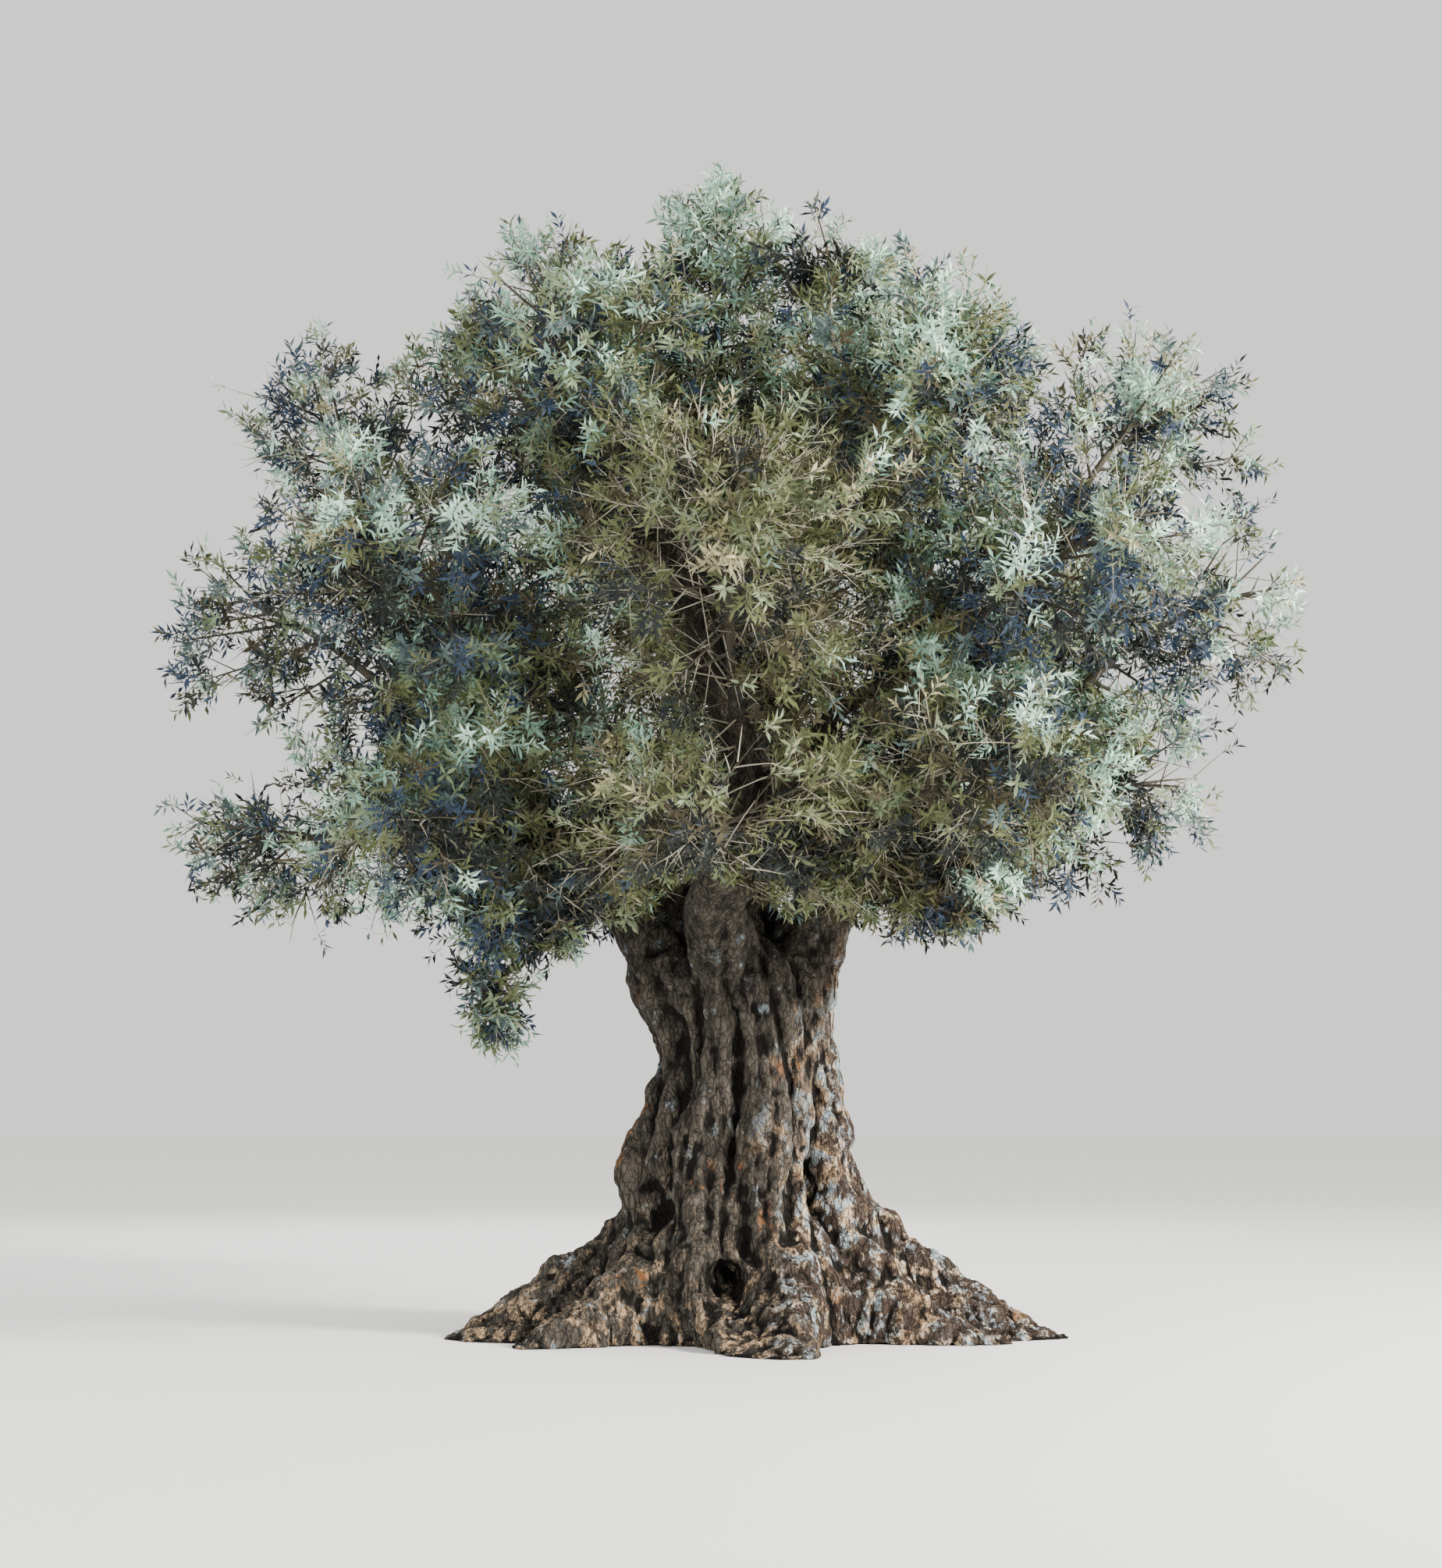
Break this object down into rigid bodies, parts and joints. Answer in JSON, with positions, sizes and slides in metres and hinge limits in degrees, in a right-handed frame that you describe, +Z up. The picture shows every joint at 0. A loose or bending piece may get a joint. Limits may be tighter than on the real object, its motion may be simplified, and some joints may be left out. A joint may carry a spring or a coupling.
{
  "type": "olive tree",
  "caption": "Old spreading olive tree: squat fluted trunk with root feet, forked boughs and a rounded open crown of silvery grey-green foliage masses. Rooted in the ground.",
  "frame": {"origin": "middle of the flat cut under the trunk, at ground level", "axes": "+Z up, +X to the right and +Y away from someone who faces the tree"},
  "size_m": [6.8244, 6.2976, 6.9801],
  "materials": {
    "bark": "rough furrowed bark",
    "foliage": "matte leaves, silvery beneath"
  },
  "bodies": {
    "root": {"trunk": "bark", "bough_low_right": "bark", "bough_low_right_inner": "bark", "bough_low_front_right": "bark", "bough_low_front": "bark", "bough_low_front_left": "bark", "bough_low_left": "bark", "bough_low_left_inner": "bark", "bough_hanging_left": "bark", "bough_low_back_left": "bark", "bough_low_back_right": "bark", "bough_mid_right": "bark", "bough_mid_front_right": "bark", "bough_mid_front": "bark", "bough_mid_front_left": "bark", "bough_mid_left": "bark", "bough_mid_back_left": "bark", "bough_mid_back": "bark", "bough_mid_back_right": "bark", "bough_upper_right": "bark", "bough_upper_front_right": "bark", "bough_upper_front_left": "bark", "bough_upper_left": "bark", "bough_upper_back_left": "bark", "bough_upper_back_right": "bark", "bough_top_left": "bark", "bough_top_left_peak": "bark", "bough_top_peak": "bark", "bough_top_right_peak": "bark", "bough_top_right": "bark", "foliage_low_right": "foliage", "foliage_low_right_inner": "foliage", "foliage_low_front_right": "foliage", "foliage_low_front": "foliage", "foliage_low_front_left": "foliage", "foliage_low_left": "foliage", "foliage_low_left_inner": "foliage", "foliage_hanging_left": "foliage", "foliage_low_back_left": "foliage", "foliage_low_back_right": "foliage", "foliage_mid_right": "foliage", "foliage_mid_front_right": "foliage", "foliage_mid_front": "foliage", "foliage_mid_front_left": "foliage", "foliage_mid_left": "foliage", "foliage_mid_back_left": "foliage", "foliage_mid_back": "foliage", "foliage_mid_back_right": "foliage", "foliage_upper_right": "foliage", "foliage_upper_front_right": "foliage", "foliage_upper_front_left": "foliage", "foliage_upper_left": "foliage", "foliage_upper_back_left": "foliage", "foliage_upper_back_right": "foliage", "foliage_top_left": "foliage", "foliage_top_left_peak": "foliage", "foliage_top_peak": "foliage", "foliage_top_right_peak": "foliage", "foliage_top_right": "foliage"}
  },
  "joints": []
}
